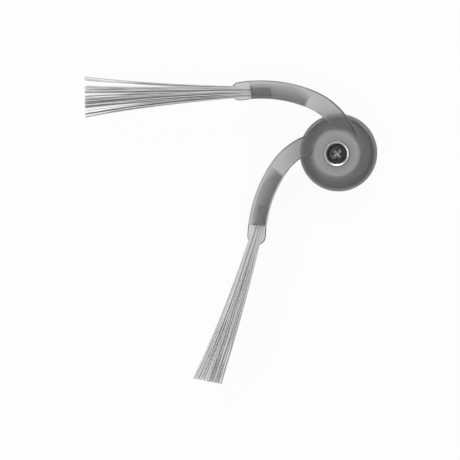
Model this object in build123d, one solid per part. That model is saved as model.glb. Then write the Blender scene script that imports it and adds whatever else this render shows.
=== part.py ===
from build123d import *
import math
import os
import random

# Side brush of a robot vacuum: hub, two curved arms with bristles, screw and screw bush.
# Millimetres and degrees. +Z runs up the hub axis to the screw head.
# The origin is on the hub axis, in the plane of the rim.

# Hub: a hollow truncated cone with a boss for the gearbox shaft
rim_radius = 14.0
rim_height = 1.0
rim_flange = 0.7
rim_chamfer = 0.3
flat_radius = 8.5
hub_height = 8.0
hub_wall = 2.0
top_thickness = 3.4
flat_edge_round = 1.5
boss_radius = 6.2
socket_side = 7.0
socket_corner = 1.0
socket_depth = 4.0

# Arms: a bend at the hub, then a wider bend up to the mouth of the bristle holder
arm_count = 2
first_arm_angle = 5.2
arm_spread_angle = 78.6
arm_offset = 4.85
root_bend_radius = 22.8
root_bend_angle = 62.5
arm_bend_radius = 47.2
arm_bend_angle = 27.2
arm_rise_angle = 3.25
arm_drop = 0.3
arm_width = 6.6
arm_draft = 0.35
neck_thickness = 1.6
neck_edge_round = 0.4

# Bristle holder at the end of an arm
holder_length = 21.4
holder_width = 6.7
holder_inset = 0.75
holder_draft = 0.6
holder_outer_height = 2.7
holder_inner_height = 4.7
holder_edge_round = 0.5
holder_crown = 0.15
crease_run = 1.0
crease_inset = 1.55
crease_inner_height = 6.0
fall_length = 9.0
mouth_draft = 0.7
pocket_depth = 7.6
pocket_width = 4.2
pocket_height = 1.7
pocket_corner = 0.4
pocket_offset = 0.5
tongue_length = 7.0
tongue_thickness = 0.7
tongue_chamfer = 0.3

# Bristles: layers of filaments that fan out from the pocket to a square cut
filament_diameter = 0.28
filament_gap = 0.09
filament_sides = 6
pocket_clearance = 0.12
fan_height = 4.0
tip_scatter_share = 0.35
cut_scatter = 0.5
upper_tuft_length = 59.3
upper_fan_width = 14.7
upper_fan_shift = -1.7
lower_tuft_length = 58.4
lower_fan_width = 10.3
lower_fan_shift = 7.2

# Screw and its bush
bush_radius = 4.45
bush_proud = 0.35
bush_wall = 0.75
bush_chamfer = 0.4
bush_floor = 0.8
bush_clearance = 0.03
head_radius = 3.5
head_height = 2.2
head_side = 1.1
head_sink = 0.4
shank_radius = 2.0
shank_clearance = 0.2
shank_end = 0.6
recess_span = 4.4
recess_slot = 1.0
recess_depth = 1.5
recess_taper_angle = 14
recess_angle = 45

# Heights and centres that follow from the sizes above
arm_level = hub_height - arm_drop - neck_thickness
bush_top = hub_height + bush_proud
head_seat = bush_top - head_sink - head_height
bush_bottom = head_seat - bush_floor
holder_height = holder_inner_height + holder_crown
pocket_middle = tongue_thickness + pocket_height / 2
mouth_angle = root_bend_angle + arm_bend_angle
root_center = Vector(arm_offset - root_bend_radius, 0)


def on_circle(center, radius, angle):
    return center + Vector(radius, 0).rotate(Axis.Z, angle)


def arm_turn(length):
    return math.degrees(length / arm_bend_radius)


bend_center = on_circle(root_center, root_bend_radius - arm_bend_radius, root_bend_angle)
mouth = on_circle(bend_center, arm_bend_radius, mouth_angle)


def across_arm(center, radius, angle):
    # Section plane across the arm: local x points to the inside of the bend, local y up
    inward = Vector(-1, 0).rotate(Axis.Z, angle)
    along = Vector(0, 1).rotate(Axis.Z, angle)
    return Plane(origin=on_circle(center, radius, angle), x_dir=inward, z_dir=along)


def turned(outline):
    return revolve(Plane.XZ * outline, Axis.Z)


def cylinder(radius, low, high):
    return Pos(0, 0, low) * extrude(Circle(radius), high - low)


def hub():
    # Cone over a flat rim, rounded where its skirt meets the flat
    skirt_base = rim_radius - rim_flange
    flat_edge = (flat_radius, hub_height)
    outline = Polyline(
        (0, 0),
        (rim_radius, 0),
        (rim_radius, rim_height - rim_chamfer),
        (rim_radius - rim_chamfer, rim_height),
        (skirt_base, rim_height),
        flat_edge,
        (0, hub_height),
        close=True,
    )
    outside = make_face(outline)
    outside = fillet(outside.vertices().sort_by_distance((*flat_edge, 0))[0], flat_edge_round)
    # Hollow between the skirt and the boss, with a wall of one thickness
    slope = (skirt_base - flat_radius) / (hub_height - rim_height)
    ceiling = hub_height - top_thickness
    wall_base = skirt_base - hub_wall
    hollow = Polyline(
        (boss_radius, 0),
        (wall_base, 0),
        (wall_base, rim_height),
        (wall_base - slope * (ceiling - rim_height), ceiling),
        (boss_radius, ceiling),
        close=True,
    )
    return turned(outside) - turned(make_face(hollow))


def neck():
    # Flat band that carries the arm from the hub to the mouth
    half = arm_width / 2
    top = half - arm_draft
    section = make_face(
        Polyline((-half, 0), (half, 0), (top, neck_thickness), (-top, neck_thickness), close=True)
    )
    section = fillet(section.vertices().group_by(Axis.Y)[-1], neck_edge_round)
    root = CenterArc(root_center, root_bend_radius, 0, root_bend_angle)
    bend = CenterArc(bend_center, arm_bend_radius, root_bend_angle, arm_bend_angle)
    return sweep(across_arm(root_center, root_bend_radius, 0) * section, path=Wire([root, bend]))


def beside_arm(angle):
    # Plane along the arm: local x points to the bristles, local y up
    along = Vector(0, 1).rotate(Axis.Z, angle)
    outward = Vector(1, 0).rotate(Axis.Z, angle)
    return Plane(origin=on_circle(bend_center, arm_bend_radius, angle), x_dir=along, z_dir=outward)


def holder():
    # Block from the crease to the mouth, highest along the inside of the bend, with a ledge on the outside
    crease_angle = mouth_angle - arm_turn(holder_length)
    crease = across_arm(bend_center, arm_bend_radius, crease_angle)
    half = holder_width / 2
    outer = Vector(holder_inset + holder_draft - half, holder_outer_height)
    inner = Vector(half - holder_draft, holder_inner_height)
    sides = Polyline(outer, (holder_inset - half, 0), (half, 0), inner)
    middle = (outer + inner) / 2 + Vector(0, holder_crown)
    crown = ThreePointArc(inner, middle, outer)
    section = make_face([*sides.edges(), crown])
    section = fillet(section.vertices().sort_by(Axis.Y)[-2:], holder_edge_round)
    block = revolve(crease * section, Axis(bend_center, (0, 0, 1)), revolution_arc=arm_turn(holder_length))
    # Its top falls off towards the crease, most of all on the outside of the bend
    slope = (crease_inner_height - neck_thickness) / (holder_width - crease_inset)
    fall_foot = (0, neck_thickness + slope * (half - crease_inset))
    fall_end = (fall_length, middle.Y)
    above = holder_height + crease_inner_height
    fall = TangentArc(fall_end, fall_foot, tangent=(-1, 0))
    cover = Polyline(fall_foot, (0, above), (fall_length, above), fall_end)
    lid = beside_arm(crease_angle) * make_face([fall, *cover.edges()])
    block -= extrude(lid, 2 * holder_width, dir=crease.x_dir + crease.y_dir * slope, both=True)
    # Steep faces at the crease and over the mouth
    foot = (0, neck_thickness)
    step = Polyline(foot, (crease_run, holder_height), (-crease_run, holder_height), close=True)
    lip = (0, tongue_thickness)
    brow = Polyline(lip, (-mouth_draft, holder_height), (mouth_draft, holder_height), close=True)
    block -= extrude(beside_arm(crease_angle) * make_face(step), holder_width, both=True)
    return block - extrude(beside_arm(mouth_angle) * make_face(brow), holder_width, both=True)


def tongue():
    # Thin rounded lip under the bristles, beyond the mouth
    inside = arm_turn(pocket_depth)
    beyond = arm_turn(tongue_length - arm_width / 2)
    line = CenterArc(bend_center, arm_bend_radius, mouth_angle - inside, inside + beyond)
    lip = extrude(SlotArc(line, arm_width), tongue_thickness)
    return chamfer(lip.edges().group_by(Axis.Z)[-1], tongue_chamfer)


def pocket_plane():
    # Mouth of the pocket: local x points to the inside of the bend, local y up, local z along the bristles
    start = on_circle(bend_center, arm_bend_radius - pocket_offset, mouth_angle)
    angle = mouth_angle - arm_turn(pocket_depth) / 2
    plane = across_arm(bend_center, arm_bend_radius, angle)
    plane.origin = start + Vector(0, 0, pocket_middle)
    return plane


def pocket():
    section = RectangleRounded(pocket_width, pocket_height, pocket_corner)
    return pocket_plane() * Pos(0, 0, -pocket_depth) * extrude(section, pocket_depth + tongue_length)


def arm():
    return neck() + holder() + tongue() - pocket()


def arm_place(index):
    # Arms rise towards the bristles and are turned about the hub axis
    heading = math.degrees(math.atan2(mouth.Y, mouth.X))
    rise = Rot(0, 0, heading) * Rot(0, -arm_rise_angle, 0) * Rot(0, 0, -heading)
    return Rot(0, 0, first_arm_angle + index * arm_spread_angle) * Pos(0, 0, arm_level) * rise


def brush_body():
    body = hub()
    for index in range(arm_count):
        body += arm_place(index) * arm()
    # Seat of the bush, way of the shank and socket of the shaft
    body -= cylinder(bush_radius + bush_clearance, bush_bottom, bush_top)
    body -= cylinder(shank_radius + shank_clearance, 0, hub_height)
    return body - extrude(RectangleRounded(socket_side, socket_side, socket_corner), socket_depth)


def filament(root, tip):
    # One bristle: straight in the pocket, then an even bend from the mouth to its tip
    start = root - Vector(0, 0, pocket_depth - pocket_clearance)
    section = Plane(start) * RegularPolygon(filament_diameter / 2, filament_sides)
    return sweep(section, path=Wire([Line(start, root), TangentArc(root, tip, tangent=(0, 0, 1))]))


def rows(room):
    # Places of filaments side by side in the pocket, as shares of the room from -0.5 to 0.5
    steps = max(1, int(room / (filament_diameter + filament_gap)))
    return [step / steps - 0.5 for step in range(steps + 1)]


def tuft(index, length, fan_width, fan_shift, seed):
    draw = random.Random(seed)
    room = pocket_width - 2 * pocket_clearance - filament_diameter
    headroom = pocket_height - 2 * pocket_clearance - filament_diameter
    columns = rows(room)
    layers = rows(headroom)
    filaments = []
    for across in columns:
        for up in layers:
            spread = across + draw.uniform(-tip_scatter_share, tip_scatter_share) / len(columns)
            lift = up + draw.uniform(-tip_scatter_share, tip_scatter_share) / len(layers)
            trim = draw.uniform(-cut_scatter, cut_scatter)
            root = Vector(across * room, up * headroom)
            tip = Vector(spread * fan_width - fan_shift, lift * fan_height, length + trim)
            filaments.append(filament(root, tip))
    place = arm_place(index) * pocket_plane().location
    return Compound(children=[place * each for each in filaments])


def screw():
    # Pan head with a domed top over a plain shank
    outline = [
        Line((0, shank_end), (shank_radius, shank_end)),
        Line((shank_radius, shank_end), (shank_radius, head_seat)),
        Line((shank_radius, head_seat), (head_radius, head_seat)),
        Line((head_radius, head_seat), (head_radius, head_seat + head_side)),
        TangentArc((0, head_seat + head_height), (head_radius, head_seat + head_side), tangent=(1, 0)),
        Line((0, head_seat + head_height), (0, shank_end)),
    ]
    cross = Rectangle(recess_span, recess_slot) + Rectangle(recess_slot, recess_span)
    recess = extrude(cross, -recess_depth, taper=recess_taper_angle)
    recess_place = Pos(0, 0, head_seat + head_height) * Rot(0, 0, recess_angle)
    return turned(make_face(outline)) - recess_place * recess


def screw_bush():
    # Pressed cup with a chamfered mouth round the screw head
    inside = bush_radius - bush_wall
    hole = shank_radius + shank_clearance
    outline = Polyline(
        (hole, bush_bottom),
        (bush_radius, bush_bottom),
        (bush_radius, bush_top),
        (inside + bush_chamfer, bush_top),
        (inside, bush_top - bush_chamfer),
        (inside, head_seat),
        (hole, head_seat),
        close=True,
    )
    return turned(make_face(outline))


nodes = {
    "brush_body": brush_body(),
    "upper_bristle_tuft": tuft(0, upper_tuft_length, upper_fan_width, upper_fan_shift, seed=3),
    "lower_bristle_tuft": tuft(1, lower_tuft_length, lower_fan_width, lower_fan_shift, seed=5),
    "screw": screw(),
    "screw_bush": screw_bush(),
}

os.makedirs("parts", exist_ok=True)
for name, shape in nodes.items():
    export_step(shape, f"parts/{name}.step")
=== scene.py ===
import bpy
import bmesh
import math
import numpy as np
from mathutils import Matrix, Vector


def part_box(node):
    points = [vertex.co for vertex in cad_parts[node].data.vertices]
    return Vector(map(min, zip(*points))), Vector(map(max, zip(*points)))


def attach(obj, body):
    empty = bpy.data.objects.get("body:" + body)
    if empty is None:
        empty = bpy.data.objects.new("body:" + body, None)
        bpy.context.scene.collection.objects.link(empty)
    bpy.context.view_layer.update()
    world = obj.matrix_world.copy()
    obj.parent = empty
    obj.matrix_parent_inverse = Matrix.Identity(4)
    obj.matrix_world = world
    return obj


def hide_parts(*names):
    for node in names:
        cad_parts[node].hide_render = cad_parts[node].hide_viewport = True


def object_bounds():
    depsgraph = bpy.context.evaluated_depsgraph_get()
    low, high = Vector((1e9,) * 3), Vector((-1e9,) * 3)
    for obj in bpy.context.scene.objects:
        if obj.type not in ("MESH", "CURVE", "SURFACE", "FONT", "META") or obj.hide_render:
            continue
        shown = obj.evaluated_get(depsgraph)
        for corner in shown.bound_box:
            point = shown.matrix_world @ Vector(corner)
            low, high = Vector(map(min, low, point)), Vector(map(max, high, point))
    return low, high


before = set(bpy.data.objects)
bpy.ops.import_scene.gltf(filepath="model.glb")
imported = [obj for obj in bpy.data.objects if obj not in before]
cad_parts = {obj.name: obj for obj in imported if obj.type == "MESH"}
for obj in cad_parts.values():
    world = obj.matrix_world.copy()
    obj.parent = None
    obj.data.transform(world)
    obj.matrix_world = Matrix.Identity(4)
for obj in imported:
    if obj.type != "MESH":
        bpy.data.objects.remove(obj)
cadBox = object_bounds()
scene = bpy.context.scene
print("frame loaded:", sorted(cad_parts))


# node maths as Python expressions
class Wire:
    def __init__(self, tree, socket=None):
        self.tree = tree
        self.socket = socket

    def node(self, kind, settings=None, values=None, out=0):
        made = self.tree.nodes.new(kind)
        for name, value in (settings or {}).items():
            if name == "points":
                line = made.mapping.curves[0].points
                while len(line) < len(value):
                    line.new(0.5, 0.5)
                for point, place in zip(line, value):
                    point.location = place
                    point.handle_type = "VECTOR"
                made.mapping.update()
            else:
                setattr(made, name, value)
        for name, value in (values or {}).items():
            if isinstance(value, Wire):
                self.tree.links.new(value.socket, made.inputs[name])
            else:
                made.inputs[name].default_value = value
        return Wire(self.tree, made.outputs[out])

    def math(self, operation, first, second=0.0):
        return self.node("ShaderNodeMath", {"operation": operation}, {0: first, 1: second})

    def part(self, value):  # the value held between 0 and 1
        return self.math("MAXIMUM", self.math("MINIMUM", value, 1.0), 0.0)

    def __add__(self, other):
        return self.math("ADD", self, other)

    def __radd__(self, other):
        return self.math("ADD", other, self)

    def __sub__(self, other):
        return self.math("SUBTRACT", self, other)

    def __rsub__(self, other):
        return self.math("SUBTRACT", other, self)

    def __mul__(self, other):
        return self.math("MULTIPLY", self, other)

    def __rmul__(self, other):
        return self.math("MULTIPLY", other, self)

    def __truediv__(self, other):
        return self.math("DIVIDE", self, other)

    def __rtruediv__(self, other):
        return self.math("DIVIDE", other, self)


def newMaterial(name):
    made = bpy.data.materials.new(name)
    made.use_nodes = True
    made.node_tree.nodes.clear()
    return made, Wire(made.node_tree)


def surface(w, shader, volume=None):
    out = w.tree.nodes.new("ShaderNodeOutputMaterial")
    w.tree.links.new(shader.socket, out.inputs["Surface"])
    if volume:
        w.tree.links.new(volume.socket, out.inputs["Volume"])


def tint(w, factor, first, second):
    first, second = (tone if isinstance(tone, Wire) else (*tone, 1) for tone in (first, second))
    mix = {"data_type": "RGBA", "blend_type": "MIX"}
    return w.node("ShaderNodeMix", mix, {0: factor, 6: first, 7: second}, out=2)


def noise(w, scale, detail=3):
    place = w.node("ShaderNodeTexCoord", out=3)
    return w.node("ShaderNodeTexNoise", {}, {"Vector": place, "Scale": scale, "Detail": detail})


# places along each arm, in its own frame: across, up and along from the closed end of its bristle pocket
armPlaces = {
    "creaseAt": -0.0125,
    "creaseRun": 0.004,
    "ledge": -0.0002,
    "pocketRun": 0.0075,
    "pocketHalf": (0.0022, 0.001),
}

# frosted grey soft plastic of the body; several of its tones are painted shade
frosted = {
    "tint": (0.98, 0.98, 0.98),
    "cloud": (1.0, 1.0, 1.0),
    "cloudScale": 160,
    # painted shade on the side walls of the arms
    "wall": (0.1, 0.1, 0.1),
    "lip": (0.01, 0.01, 0.012),  # painted shade on the edge of the tongue
    "holderShade": (0.42, 0.42, 0.43),  # painted shade on the holders' thickest part, counted from the heights below
    "thinAt": 0.0008,
    "thickAt": 0.0027,
    "deepFrom": -0.0142,
    "edge": 0.0003,
    # painted shade across the pocket's opening
    "mouthShade": (0.16, 0.16, 0.17),
    "mouthBand": 0.0007,
    "rootShade": (0.76, 0.76, 0.77),  # painted shade on the necks beside the hub
    "rootFrom": 0.0139,
    "rootTo": 0.0205,
    # painted shade on the lower part of the hub's sloping side
    "skirtShade": (0.86, 0.86, 0.87),
    "skirtHeight": 0.0062,
    "skirtEdge": 0.001,
    # painted shade round the edge of the bore beside the bush
    "boreShade": (0.3, 0.3, 0.31),
    "boreRadius": 0.0049,
    "boreEdge": 0.0003,
    "roughness": 0.33,
    "gloss": 0.25,
    "ior": 1.47,
    "absorb": (0.50, 0.505, 0.52),
    "density": 430,
    "grain": 0.06,
    "grainScale": 2600,
    "relief": 0.00002,
    "bump": 0.35,
    "milk": 0.42,  # shares of the milky shader: core of the hub, rim and creases
    "milkTone": (0.62, 0.62, 0.63),
    "milkRadius": 0.01,
    "milkEdge": 0.0024,
    "rimMilk": 0.5,
    "rimHeight": 0.0021,
    "rimEdge": 0.0018,
    "haze": 0.3,
}


def frostedPlastic():
    made, w = newMaterial("frosted_plastic")
    edge = frosted["edge"]
    mouthAt = armPlaces["pocketRun"]
    grain = noise(w, frosted["grainScale"])
    relief = {"Strength": frosted["bump"], "Distance": frosted["relief"], "Height": grain}
    bump = w.node("ShaderNodeBump", {}, relief)
    place = w.node("ShaderNodeTexCoord", out=3)
    height = w.node("ShaderNodeSeparateXYZ", {}, {0: place}, out=2)
    flat = w.node("ShaderNodeVectorMath", {"operation": "MULTIPLY"}, {0: place, 1: (1, 1, 0)})
    radius = w.node("ShaderNodeVectorMath", {"operation": "LENGTH"}, {0: flat}, out=1)
    # armSpot holds each corner's place in its arm's frame
    armSpot = w.node("ShaderNodeAttribute", {"attribute_name": "armSpot"}, out=1)
    across, up, along = (w.node("ShaderNodeSeparateXYZ", {}, {0: armSpot}, out=axis) for axis in range(3))
    onHolder = w.part((along - frosted["deepFrom"]) / edge) * w.part((mouthAt + edge - along) / edge)
    beside = w.math("ABSOLUTE", across)
    overPocket = w.part(along / edge) * w.part((armPlaces["pocketHalf"][0] - beside) / edge)
    onTongue = w.part((along - mouthAt) / edge)
    # painted shade: darker base colours stand in for the little light that comes through the holders'
    # thickest part and the hub's sloping side, and the side walls are darker still
    holderShadeShare = w.part((up - frosted["thinAt"]) / (frosted["thickAt"] - frosted["thinAt"]))
    holderShadeShare = holderShadeShare * onHolder * (1 - overPocket)
    # painted shade across the pocket's opening
    mouthShadeShare = w.part((along - mouthAt + frosted["mouthBand"]) / edge) * overPocket * onHolder
    # painted shade on the necks beside the hub
    offHub = w.part((radius - frosted["rootFrom"]) / edge)
    root = w.part((frosted["rootTo"] - radius) / (frosted["rootTo"] - frosted["rootFrom"])) * offHub
    # painted shade on the lower part of the hub
    skirtShadeShare = w.part((frosted["skirtHeight"] - height) / frosted["skirtEdge"])
    # painted shade round the bore's edge
    bore = w.part((frosted["boreRadius"] - radius) / frosted["boreEdge"])
    # painted shade: faces marked as side walls get near-black base colours
    wall = w.node("ShaderNodeAttribute", {"attribute_name": "wall"}, out=2)
    tone = tint(w, noise(w, frosted["cloudScale"]), frosted["tint"], frosted["cloud"])
    # painted shade on the necks beside the hub, the holders, the pocket's opening, the hub's lower part and
    # the bore's edge
    layers = {"rootShade": root, "holderShade": holderShadeShare, "mouthShade": mouthShadeShare, "skirtShade": skirtShadeShare, "boreShade": bore}
    for name, share in layers.items():
        tone = tint(w, share, tone, frosted[name])
    # painted shade: the walls at the tongue's edge are painted darkest
    wallShadeTone = tint(w, onTongue, frosted["wall"], frosted["lip"])
    finish = {
        "Roughness": frosted["roughness"] + (grain - 0.5) * frosted["grain"],
        "IOR": frosted["ior"],
        "Specular IOR Level": frosted["gloss"],
        "Normal": bump,
    }
    clear = {"Base Color": tint(w, wall, tone, wallShadeTone), "Transmission Weight": 1.0, **finish}
    clear = w.node("ShaderNodeBsdfPrincipled", {}, clear)
    # the core of the hub, its rim and the creases scatter more light back than the thin walls
    # painted shade round the bore's edge in the milky shader as well
    milk = {"Base Color": tint(w, bore, frosted["milkTone"], frosted["boreShade"]), **finish}
    milk = w.node("ShaderNodeBsdfPrincipled", {}, milk)
    core = w.part((frosted["milkRadius"] - radius) / frosted["milkEdge"])
    rim = w.part((frosted["rimHeight"] - height) / frosted["rimEdge"])
    haze = w.node("ShaderNodeAttribute", {"attribute_name": "haze"}, out=2)
    share = core * frosted["milk"] + rim * frosted["rimMilk"] + haze * frosted["haze"]
    shader = w.node("ShaderNodeMixShader", {}, {0: share, 1: clear, 2: milk})
    absorb = {"Color": (*frosted["absorb"], 1), "Density": frosted["density"]}
    surface(w, shader, w.node("ShaderNodeVolumeAbsorption", {}, absorb))
    return made


# nylon of the bristles: each filament has a tone of its own
nylon = {
    "dark": (0.23, 0.215, 0.215),
    "light": (0.81, 0.81, 0.83),
    "roughness": 0.38,
    "streak": 0.12,
    "streakScale": 420,
}


def nylonBristle():
    made, w = newMaterial("nylon_bristle")
    tone = w.node("ShaderNodeAttribute", {"attribute_name": "tone"}, out=2)
    streak = (noise(w, nylon["streakScale"], detail=2) - 0.5) * nylon["streak"]
    shader = w.node("ShaderNodeBsdfPrincipled", {}, {
        "Base Color": tint(w, tone + streak, nylon["dark"], nylon["light"]),
        "Roughness": nylon["roughness"] + streak,
    })
    surface(w, shader)
    return made


# black finish of the screw: the driver has worn it off in the recess
blackFinish = {
    "paint": (0.012, 0.012, 0.013),
    "faded": (0.035, 0.035, 0.036),
    "bare": (0.85, 0.85, 0.86),
    "metallic": 0.3,
    "roughness": 0.2,
    "speckRough": 0.2,
    "bareRough": 0.2,
    "speckScale": 2400,
    "wearScale": 2600,
    "wearFrom": 0.42,
    "wearSharp": 6,
}


def blackSteel():
    made, w = newMaterial("black_steel")
    speck = noise(w, blackFinish["speckScale"])
    paint = tint(w, speck, blackFinish["paint"], blackFinish["faded"])
    wear = noise(w, blackFinish["wearScale"], detail=2) - blackFinish["wearFrom"]
    worn = w.node("ShaderNodeAttribute", {"attribute_name": "worn"}, out=2)
    bare = w.part(wear * blackFinish["wearSharp"]) * worn
    rough = blackFinish["roughness"] + speck * blackFinish["speckRough"]
    shader = w.node("ShaderNodeBsdfPrincipled", {}, {
        "Base Color": tint(w, bare, paint, blackFinish["bare"]),
        "Metallic": blackFinish["metallic"] + bare * (1 - blackFinish["metallic"]),
        "Roughness": rough + bare * blackFinish["bareRough"],
    })
    surface(w, shader)
    return made


# bright finish of the bush
brightFinish = {
    "bright": (0.72, 0.72, 0.73),
    "dull": (0.55, 0.55, 0.56),
    "roughness": 0.3,
    "speckRough": 0.15,
    "speckScale": 1900,
}


def brightSteel():
    made, w = newMaterial("bright_steel")
    speck = noise(w, brightFinish["speckScale"])
    shader = w.node("ShaderNodeBsdfPrincipled", {}, {
        "Base Color": tint(w, speck, brightFinish["bright"], brightFinish["dull"]),
        "Metallic": 1.0,
        "Roughness": brightFinish["roughness"] + speck * brightFinish["speckRough"],
    })
    surface(w, shader)
    return made


frostedMat = frostedPlastic()
nylonMat = nylonBristle()
blackMat = blackSteel()
brightMat = brightSteel()
print("materials made")


def newPiece(name, mesh, material):
    mesh.materials.clear()
    mesh.materials.append(material)
    piece = bpy.data.objects.new(name, mesh)
    scene.collection.objects.link(piece)
    return piece


def standFor(piece, node):
    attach(piece, "root")
    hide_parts(node)


def settle(piece):  # the piece's modifiers end up in its mesh
    graph = bpy.context.evaluated_depsgraph_get()
    mesh = bpy.data.meshes.new_from_object(
        piece.evaluated_get(graph), preserve_all_data_layers=True, depsgraph=graph)
    piece.modifiers.clear()
    piece.data = mesh


def shadeByAngle(mesh, degrees):
    mesh.shade_smooth()
    mesh.set_sharp_from_angle(angle=math.radians(degrees))


rootSlice = 0.001  # how much of a CAD tuft counts as its root end


def tuftFrame(node):  # where the CAD tuft's flat root end lies, and how far it reaches from there
    spots = np.array([corner.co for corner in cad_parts[node].data.vertices])
    near = spots[np.argmin(np.hypot(spots[:, 0], spots[:, 1]))]
    run = spots.mean(axis=0) - near
    along = spots @ run / np.linalg.norm(run)
    roots = spots[along < along.min() + rootSlice]
    middle = roots.mean(axis=0)
    flat = np.linalg.svd(roots - middle, full_matrices=False)[2]
    up = flat[1] * np.sign(flat[1][2])
    axis = flat[2] * np.sign(flat[2] @ run)
    side = np.cross(up, axis)
    turn = Matrix(np.column_stack([side, up, axis]).tolist()).to_4x4()
    width = np.ptp(roots @ side)
    height = np.ptp(roots @ up)
    reach = ((spots - middle) @ axis).max()
    return Matrix.Translation(middle.tolist()) @ turn, float(width), float(height), float(reach)


# body: the CAD solid with its facets merged; flat faces keep their own normals beside the rounds
bodyLook = {"merge": 1e-6, "sharp": 20, "flatWeight": 100}
# which of its faces get painted shade as dark side walls
wallShadeLook = {
    "level": 0.97,
    "steep": 0.6,
    "armLow": 0.0059,
    "hubRadius": 0.0102,
    "hubLift": 0.4,
    "coreRadius": 0.0075,
    "endways": 0.7,
    "inner": 0.25,
}


def nearArm(spot, arms):
    return min(arms, key=lambda turn: (turn @ spot).length)


def atCrease(spot):
    near = abs(spot.z - armPlaces["creaseAt"]) < armPlaces["creaseRun"]
    return near and spot.y > armPlaces["ledge"]


def inPocket(spot):
    half = armPlaces["pocketHalf"]
    return spot.z > 0 and abs(spot.x) < half[0] and abs(spot.y) < half[1]


def wallShadeMark(face, arms):  # how much painted shade a face of the body gets as a dark side wall
    lift = abs(face.normal.z)
    radius = face.center.xy.length
    onHub = radius < wallShadeLook["hubRadius"] and lift > wallShadeLook["hubLift"]
    if onHub or radius < wallShadeLook["coreRadius"] or face.center.z < wallShadeLook["armLow"]:
        return 0
    arm = nearArm(face.center, arms)
    spot = arm @ face.center
    facing = arm.to_3x3() @ face.normal
    if spot.z > armPlaces["pocketRun"]:  # the tongue's edge
        return float(lift < wallShadeLook["level"])
    if atCrease(spot) and abs(facing.x) < wallShadeLook["endways"]:
        return 0
    mark = min(1, max(0, (wallShadeLook["level"] - lift) / (wallShadeLook["level"] - wallShadeLook["steep"])))
    if spot.z < armPlaces["creaseAt"]:
        return mark
    holderSide = facing.x < 0 and spot.y > armPlaces["ledge"]
    if inPocket(spot) or holderSide or facing.z < -wallShadeLook["endways"]:
        return 0
    return mark * wallShadeLook["inner"] if facing.x > 0 else mark


def hazeMark(face, arms):  # the step at the crease
    arm = nearArm(face.center, arms)
    backward = (arm.to_3x3() @ face.normal).z < -wallShadeLook["endways"] / 2
    return float(backward and atCrease(arm @ face.center))


def markFaces(mesh):
    arms = [tuftFrame(node)[0].inverted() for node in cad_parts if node.endswith("bristle_tuft")]
    # the wall attribute carries painted shade on the side walls
    for name, mark in (("wall", wallShadeMark), ("haze", hazeMark)):
        mesh.attributes.new(name, "FLOAT", "FACE")
        mesh.attributes[name].data.foreach_set("value", [mark(face, arms) for face in mesh.polygons])
    spots = [nearArm(corner.co, arms) @ corner.co for corner in mesh.vertices]
    mesh.attributes.new("armSpot", "FLOAT_VECTOR", "POINT")
    mesh.attributes["armSpot"].data.foreach_set("vector", np.array(spots).ravel())


def makeBody():
    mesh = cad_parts["brush_body"].data.copy()
    work = bmesh.new()
    work.from_mesh(mesh)
    bmesh.ops.remove_doubles(work, verts=work.verts, dist=bodyLook["merge"])
    work.to_mesh(mesh)
    work.free()
    mesh.attributes.remove(mesh.attributes["custom_normal"])
    shadeByAngle(mesh, bodyLook["sharp"])
    piece = newPiece("frosted_body", mesh, frostedMat)
    even = piece.modifiers.new("even", "WEIGHTED_NORMAL")
    even.keep_sharp = True
    even.weight = bodyLook["flatWeight"]
    settle(piece)
    markFaces(piece.data)
    return piece


body = makeBody()
standFor(body, "brush_body")
print("body made")

# bristles: filaments stand in rows in the pocket and fan out from its mouth in clumps
fan = {
    "columns": 16,
    "layers": 6,
    "steps": 22,
    "sides": 8,
    "diameter": 0.00023,
    "fanHeight": 0.0036,
    "trim": 0.0002,
    "wave": 0.00035,
    "endGap": 0.0004,
    "smooth": 60,
    "seed": 5,
}
tufts = {
    "upper_bristle_tuft": {
        "piece": "upper_nylon_tuft",
        "fanWidth": 0.0146,
        "shift": 0.0017,
        "lean": 0.8,
        "flare": 0.2,
        "stray": 0.045,
        "toneLow": -0.3,
        "toneHigh": 1.3,
        "clumps": [(0, 0), (0.08, 0.1), (0.1, 0.22), (0.21, 0.31), (0.23, 0.35), (0.35, 0.44),
                   (0.37, 0.49), (0.6, 0.64), (0.92, 0.79), (0.94, 0.87), (1, 1)],
    },
    "lower_bristle_tuft": {
        "piece": "lower_nylon_tuft",
        "fanWidth": 0.0102,
        "shift": -0.0072,
        "lean": 0.6,
        "flare": 0.35,
        "stray": 0.07,
        "toneLow": 0.15,
        "toneHigh": 1.45,
        "clumps": [(0, 0), (0.3, 0.28), (0.7, 0.72), (1, 1)],
    },
}

socketKinds = {float: "NodeSocketFloat", int: "NodeSocketInt"}


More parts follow.
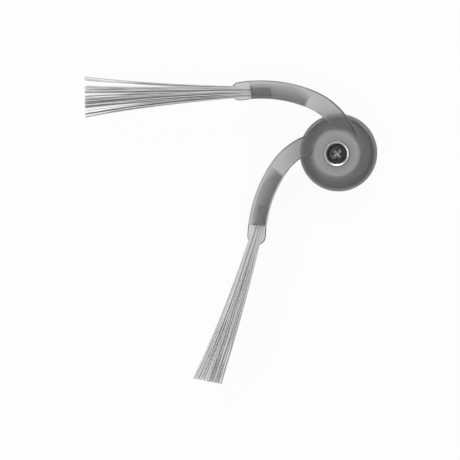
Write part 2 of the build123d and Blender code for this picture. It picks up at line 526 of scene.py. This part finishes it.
def bristleTree(name, sizes, clumps):
    tree = bpy.data.node_groups.new(name, "GeometryNodeTree")
    sockets = {}
    for label, value in sizes.items():
        socket = tree.interface.new_socket(label, in_out="INPUT", socket_type=socketKinds[type(value)])
        socket.default_value = value
        sockets[label] = socket.identifier
    finish = tree.interface.new_socket("finish", in_out="INPUT", socket_type="NodeSocketMaterial")
    sockets["finish"] = finish.identifier
    tree.interface.new_socket("tuft", in_out="OUTPUT", socket_type="NodeSocketGeometry")
    inputs = tree.nodes.new("NodeGroupInput")
    given = {label: Wire(tree, inputs.outputs[label]) for label in sockets}
    w = Wire(tree)

    def chance(low, high, draw):  # one value for each filament
        seed = given["seed"] + draw
        values = {2: low, 3: high, "ID": rod, "Seed": seed}
        return w.node("FunctionNodeRandomValue", {"data_type": "FLOAT"}, values, out=1)

    # each point knows its filament, its row and its place along the filament
    index = w.node("GeometryNodeInputIndex")
    rod = w.math("FLOOR", (index + 0.5) / given["steps"])
    step = (index - rod * given["steps"]) / (given["steps"] - 1)
    layer = w.math("FLOOR", (rod + 0.5) / given["columns"])
    across = (rod - layer * given["columns"]) / (given["columns"] - 1) - 0.5
    up = layer / (given["layers"] - 1) - 0.5

    # roots stand in the pocket, tips spread into clumps
    share = across + 0.5 + given["stray"] * chance(-1.0, 1.0, 1)
    spread = w.node("ShaderNodeFloatCurve", {"points": clumps}, {"Value": share}) - 0.5
    rootX = across * given["rootWidth"]
    rootY = up * given["rootHeight"]
    tipX = spread * given["fanWidth"]
    tipY = (up + given["stray"] * chance(-2.0, 2.0, 2)) * given["fanHeight"]
    along = step * (given["length"] - given["trim"] * chance(0.0, 1.0, 3))
    free = w.math("MAXIMUM", (along - given["pocketRun"]) / (given["length"] - given["pocketRun"]), 0.0)
    lean = free * given["lean"] + free * free * (1 - given["lean"])
    flare = free * given["flare"] + free * free * (1 - given["flare"])
    sway = w.math("SINE", free * math.pi) * given["wave"]
    x = rootX + (tipX - rootX) * flare + given["shift"] * lean + sway * chance(-1.0, 1.0, 4)
    y = rootY + (tipY - rootY) * flare + sway * chance(-1.0, 1.0, 5)
    spot = w.node("ShaderNodeCombineXYZ", {}, {"X": x, "Y": y, "Z": along})

    count = given["columns"] * given["layers"] * given["steps"]
    points = w.node("GeometryNodePoints", {}, {"Count": count, "Position": spot})
    tone = {"Geometry": points, "Name": "tone", "Value": chance(given["toneLow"], given["toneHigh"], 6)}
    points = w.node("GeometryNodeStoreNamedAttribute", {"data_type": "FLOAT", "domain": "POINT"}, tone)
    lines = w.node("GeometryNodePointsToCurves", {}, {"Points": points, "Curve Group ID": rod})
    ring = {"Resolution": given["sides"], "Radius": given["diameter"] * 0.5}
    ring = w.node("GeometryNodeCurvePrimitiveCircle", {}, ring)
    rods = w.node("GeometryNodeCurveToMesh", {}, {"Curve": lines, "Profile Curve": ring, "Fill Caps": True})
    rods = w.node("GeometryNodeRealizeInstances", {}, {"Geometry": rods})
    rods = w.node("GeometryNodeSetMaterial", {}, {"Geometry": rods, "Material": given["finish"]})
    out = tree.nodes.new("NodeGroupOutput")
    tree.links.new(rods.socket, out.inputs["tuft"])
    return tree, sockets


def makeTuft(node, look):
    place, width, height, reach = tuftFrame(node)
    shared = ("columns", "layers", "steps", "sides", "seed", "diameter", "fanHeight", "trim", "wave")
    own = ("fanWidth", "shift", "lean", "flare", "stray", "toneLow", "toneHigh")
    sizes = {label: fan[label] for label in shared}
    sizes.update({label: look[label] for label in own})
    sizes["pocketRun"] = armPlaces["pocketRun"]
    sizes["rootWidth"] = width - fan["diameter"]
    sizes["rootHeight"] = height - fan["diameter"]
    sizes["length"] = reach - fan["endGap"]
    tree, sockets = bristleTree(look["piece"], sizes, look["clumps"])
    piece = newPiece(look["piece"], bpy.data.meshes.new(look["piece"]), nylonMat)
    grow = piece.modifiers.new("grow", "NODES")
    grow.node_group = tree
    for label, value in sizes.items():
        grow[sockets[label]] = value
    grow[sockets["finish"]] = nylonMat
    settle(piece)
    piece.data.transform(place)
    shadeByAngle(piece.data, fan["smooth"])
    return piece


for node, look in tufts.items():
    tuft = makeTuft(node, look)
    standFor(tuft, node)
    print(look["piece"], "made:", len(tuft.data.polygons), "faces")


# turned pieces: rings of corners round the hub axis, each ring a function of the angle
def rounded(corners, steps):  # corners are (radius, height, rounding); the ends stay sharp
    line = []
    for place, (radius, height, rounding) in enumerate(corners):
        corner = Vector((radius, height))
        if rounding == 0:
            line.append(corner)
            continue
        before = Vector(corners[place - 1][:2]) - corner
        after = Vector(corners[(place + 1) % len(corners)][:2]) - corner
        half = before.angle(after) / 2
        reach = rounding / math.tan(half)
        inward = (before.normalized() + after.normalized()).normalized()
        middle = corner + inward * rounding / math.sin(half)
        first = corner + before.normalized() * reach - middle
        turn = first.angle_signed(corner + after.normalized() * reach - middle)
        for step in range(steps + 1):
            part = first.copy()
            part.rotate(Matrix.Rotation(-turn * step / steps, 2))
            line.append(middle + part)
    return line


def lathe(name, rings, segments, closed):
    work = bmesh.new()
    rows = []
    for ring in rings:
        if isinstance(ring, float):  # a pole on the axis
            rows.append([work.verts.new((0, 0, ring))] * segments)
            continue
        row = []
        for step in range(segments):
            angle = 2 * math.pi * step / segments
            radius, height = ring(angle)
            row.append(work.verts.new((radius * math.cos(angle), radius * math.sin(angle), height)))
        rows.append(row)
    pairs = list(zip(rows, rows[1:]))
    if closed:
        pairs.append((rows[-1], rows[0]))
    for low, high in pairs:
        for step in range(segments):
            after = (step + 1) % segments
            corners = []
            for corner in (low[step], low[after], high[after], high[step]):
                if corner not in corners:
                    corners.append(corner)
            work.faces.new(corners)
    bmesh.ops.recalc_face_normals(work, faces=work.faces)
    mesh = bpy.data.meshes.new(name)
    work.to_mesh(mesh)
    work.free()
    return mesh


def plain(spot):
    return lambda angle: (spot[0], spot[1])


# bush: a bright cup with a bevelled mouth
bushForm = {
    "segments": 128,
    "wall": 0.00075,
    "bevel": 0.0005,
    "bevelDrop": 0.00036,
    "floor": 0.0008,
    "bore": 0.0022,
    "round": 0.00008,
    "roundSteps": 4,
    "smooth": 32,
}
bushLow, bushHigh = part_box("screw_bush")


def makeBush():
    outer = bushHigh[0]
    low, high = bushLow[2], bushHigh[2]
    inner = outer - bushForm["wall"]
    soft = bushForm["round"]
    corners = [
        (bushForm["bore"], low, 0),
        (outer, low, soft),
        (outer, high, soft),
        (inner + bushForm["bevel"], high, soft),
        (inner, high - bushForm["bevelDrop"], soft),
        (inner, low + bushForm["floor"], soft),
        (bushForm["bore"], low + bushForm["floor"], 0),
    ]
    line = rounded(corners, bushForm["roundSteps"])
    mesh = lathe("bright_bush", [plain(spot) for spot in line], bushForm["segments"], True)
    shadeByAngle(mesh, bushForm["smooth"])
    return newPiece("bright_bush", mesh, brightMat)


bush = makeBush()
standFor(bush, "screw_bush")

# screw: a domed head with a cross recess whose edges are a little worn, and a real thread
screwForm = {
    "segments": 72,
    "headSide": 0.0011,
    "headHeight": 0.0022,
    "headRound": 0.00018,
    "roundSteps": 4,
    "domeInset": 0.9,
    "domeRows": 9,
    "shank": 0.002,
    "pitch": 0.0007,
    "threadDepth": 0.00038,
    "crest": 0.12,
    "rowsPerPitch": 10,
    "lead": 0.0005,
    "recessSpan": 0.0044,
    "recessSlot": 0.001,
    "recessDepth": 0.0016,
    "recessFootSpan": 0.0022,
    "recessFootSlot": 0.0007,
    "recessTurn": 45,
    "recessOver": 0.0006,
    "recessEdge": 0.0002,
    "edgeRows": 2,
    "edgeAngle": 30,
    "wearReach": 0.6,
    "wearDepth": 0.9,
    "wearGap": 0.00001,
    "merge": 2e-6,
    "smooth": 32,
}
screwLow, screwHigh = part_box("screw")
seat = bushLow[2] + bushForm["floor"]
headTop = seat + screwForm["headHeight"]
shoulder = seat + screwForm["headSide"]
headRadius = screwHigh[0]
domeRise = screwForm["headHeight"] - screwForm["headSide"]
domeBall = (headRadius * headRadius + domeRise * domeRise) / (2 * domeRise)


def domeHeight(radius):
    return shoulder + math.sqrt(domeBall * domeBall - radius * radius) - (domeBall - domeRise)


def threadRing(height, top):
    pitch = screwForm["pitch"]
    depth = screwForm["threadDepth"] * min(1, (top - height) / pitch)
    lead = screwForm["shank"] - screwForm["lead"] + (height - screwLow[2])

    def ring(angle):
        turn = (height / pitch - angle / (2 * math.pi)) % 1
        groove = min(1, max(0, (1 - abs(2 * turn - 1)) / (1 - screwForm["crest"])))
        return min(lead, screwForm["shank"] - depth * groove), height
    return ring


def crossOutline(span, slot, height):
    turn = Matrix.Rotation(math.radians(screwForm["recessTurn"]), 3, "Z")
    arm = [(span / 2, -slot / 2), (span / 2, slot / 2), (slot / 2, slot / 2)]
    spots = []
    for quarter in range(4):
        spin = Matrix.Rotation(quarter * math.pi / 2, 3, "Z")
        spots += [turn @ spin @ Vector((x, y, height)) for x, y in arm]
    return spots


def recessTool():
    depth = screwForm["recessDepth"]
    over = screwForm["recessOver"]
    slope = (screwForm["recessSpan"] - screwForm["recessFootSpan"]) / depth
    draft = (screwForm["recessSlot"] - screwForm["recessFootSlot"]) / depth
    span = screwForm["recessSpan"] + slope * over
    slot = screwForm["recessSlot"] + draft * over
    top = crossOutline(span, slot, headTop + over)
    foot = crossOutline(screwForm["recessFootSpan"], screwForm["recessFootSlot"], headTop - depth)
    sides = len(top)
    faces = [(step, (step + 1) % sides, sides + (step + 1) % sides, sides + step) for step in range(sides)]
    faces += [tuple(range(sides))[::-1], tuple(range(sides, 2 * sides))]
    mesh = bpy.data.meshes.new("recess_tool")
    mesh.from_pydata(foot + top, [], faces)
    tool = bpy.data.objects.new("recess_tool", mesh)
    scene.collection.objects.link(tool)
    return tool


def screwRings():
    low = screwLow[2]
    rings = [float(low), plain((screwForm["shank"] - screwForm["lead"], low))]
    rows = int((seat - low) / screwForm["pitch"] * screwForm["rowsPerPitch"])
    for row in range(1, rows):
        rings.append(threadRing(low + (seat - low) * row / rows, seat))
    rings.append(plain((screwForm["shank"], seat)))
    soft = screwForm["headRound"]
    inset = headRadius * screwForm["domeInset"]
    edge = [
        (screwForm["shank"], seat, 0),
        (headRadius, seat, soft),
        (headRadius, shoulder, soft),
        (inset, domeHeight(inset), 0),
    ]
    rings += [plain(spot) for spot in rounded(edge, screwForm["roundSteps"])[1:]]
    for row in range(1, screwForm["domeRows"]):
        radius = inset * (1 - row / screwForm["domeRows"])
        rings.append(plain((radius, domeHeight(radius))))
    rings.append(float(headTop))
    return rings


def overRecess(spot):
    return spot.xy.length < screwForm["recessSpan"] * screwForm["wearReach"]


def roundRecess(mesh):
    work = bmesh.new()
    work.from_mesh(mesh)
    bmesh.ops.remove_doubles(work, verts=work.verts, dist=screwForm["merge"])
    lowest = headTop - screwForm["recessDepth"] * screwForm["wearDepth"]
    edges = []
    for edge in work.edges:
        middle = (edge.verts[0].co + edge.verts[1].co) / 2
        if not overRecess(middle) or middle.z <= lowest or len(edge.link_faces) != 2:
            continue
        if edge.calc_face_angle() > math.radians(screwForm["edgeAngle"]):
            edges.append(edge)
    bmesh.ops.bevel(
        work, geom=edges, offset=screwForm["recessEdge"], segments=screwForm["edgeRows"],
        affect="EDGES", clamp_overlap=True)
    work.to_mesh(mesh)
    work.free()


def wornMark(face):  # below the dome, so in the recess
    if not overRecess(face.center):
        return 0
    return float(face.center.z < domeHeight(face.center.xy.length) - screwForm["wearGap"])


def makeScrew():
    mesh = lathe("black_screw", screwRings(), screwForm["segments"], False)
    piece = newPiece("black_screw", mesh, blackMat)
    tool = recessTool()
    cut = piece.modifiers.new("recess", "BOOLEAN")
    cut.object = tool
    cut.solver = "EXACT"
    settle(piece)
    bpy.data.objects.remove(tool)
    roundRecess(piece.data)
    shadeByAngle(piece.data, screwForm["smooth"])
    piece.data.attributes.new("worn", "FLOAT", "FACE")
    marks = [wornMark(face) for face in piece.data.polygons]
    piece.data.attributes["worn"].data.foreach_set("value", marks)
    return piece


screw = makeScrew()
standFor(screw, "screw")
print("bush and screw made")

# camera: a long lens that leans a little off the hub axis
view = {
    "distance": 1.5,
    "lean": (0.104, 0.081),
    "pixel": 0.00036,
    "frame": 460,
    "hubPixel": (338.5, 152.55),
    "sensor": 36,
    "far": 20,
}


def addCamera():
    back = Vector((*view["lean"], 1)).normalized()
    up = (Vector((0, 1, 0)) - back * back.y).normalized()
    right = up.cross(back)
    half = view["frame"] / 2
    aside = (view["hubPixel"][0] - half) * view["pixel"]
    above = (half - view["hubPixel"][1]) * view["pixel"]
    target = -(right * aside + up * above)
    data = bpy.data.cameras.new("camera")
    data.sensor_width = view["sensor"]
    data.lens = view["sensor"] * view["distance"] / (view["frame"] * view["pixel"])
    data.clip_end = view["far"]
    camera = bpy.data.objects.new("camera", data)
    spot = target + back * view["distance"]
    turn = Matrix((right, up, back)).transposed().to_4x4()
    camera.matrix_world = Matrix.Translation(spot) @ turn
    scene.collection.objects.link(camera)
    scene.camera = camera


# soft light: two large lamps beside the view, and a dome that is brighter overhead than at its edge
light = {
    "dome": 0.97,
    "edge": 0.05,
    "leftAt": (-0.95, -0.3, 0.42),
    "leftPower": 5.0,
    "topAt": (-0.15, 1.0, 0.28),
    "topPower": 9.0,
    "lampSize": 1.0,
}


def addLamp(name, spot, power):
    data = bpy.data.lights.new(name, "AREA")
    data.energy = power
    data.size = light["lampSize"]
    lamp = bpy.data.objects.new(name, data)
    lamp.matrix_world = Matrix.Translation(spot) @ spot.to_track_quat("Z", "Y").to_matrix().to_4x4()
    scene.collection.objects.link(lamp)


def addLight():
    world = bpy.data.worlds.new("surrounding")
    world.use_nodes = True
    w = Wire(world.node_tree)
    height = w.node("ShaderNodeSeparateXYZ", {}, {0: w.node("ShaderNodeTexCoord")}, out=2)
    back = world.node_tree.nodes["Background"]
    back.inputs["Color"].default_value = (1, 1, 1, 1)
    strength = light["edge"] + w.math("MAXIMUM", height, 0.0) * (light["dome"] - light["edge"])
    world.node_tree.links.new(strength.socket, back.inputs["Strength"])
    scene.world = world
    addLamp("left_lamp", Vector(light["leftAt"]), light["leftPower"])
    addLamp("top_lamp", Vector(light["topAt"]), light["topPower"])


# pale floor: nearly plain white to the camera, a little whitened in reflections, matt through the plastic
floorLook = {
    "tone": 0.9,
    "side": 4.0,
    "gap": 0.00005,
    "white": 0.9,
    "mirrored": 0.15,
}


def addFloor():
    made, w = newMaterial("pale_floor")
    path = w.tree.nodes.new("ShaderNodeLightPath")
    camera, glossy, passed = (
        Wire(w.tree, path.outputs[f"Is {kind} Ray"]) for kind in ("Camera", "Glossy", "Transmission"))
    seen = camera * floorLook["white"] + glossy * (1 - passed) * floorLook["mirrored"]
    pale = w.node("ShaderNodeBsdfDiffuse", {}, {"Color": (floorLook["tone"],) * 3 + (1,)})
    white = w.node("ShaderNodeEmission", {}, {"Color": (1, 1, 1, 1), "Strength": 1.0})
    surface(w, w.node("ShaderNodeMixShader", {}, {0: seen, 1: pale, 2: white}))
    mesh = bpy.data.meshes.new("floor")
    side = floorLook["side"]
    low = cadBox[0][2] - floorLook["gap"]
    corners = [(-side, -side, low), (side, -side, low), (side, side, low), (-side, side, low)]
    mesh.from_pydata(corners, [], [(0, 1, 2, 3)])
    mesh.materials.append(made)
    floor = bpy.data.objects.new("floor", mesh)
    scene.collection.objects.link(floor)


addCamera()
addLight()
addFloor()
scene.view_settings.view_transform = "Standard"
print("camera, light and floor set")
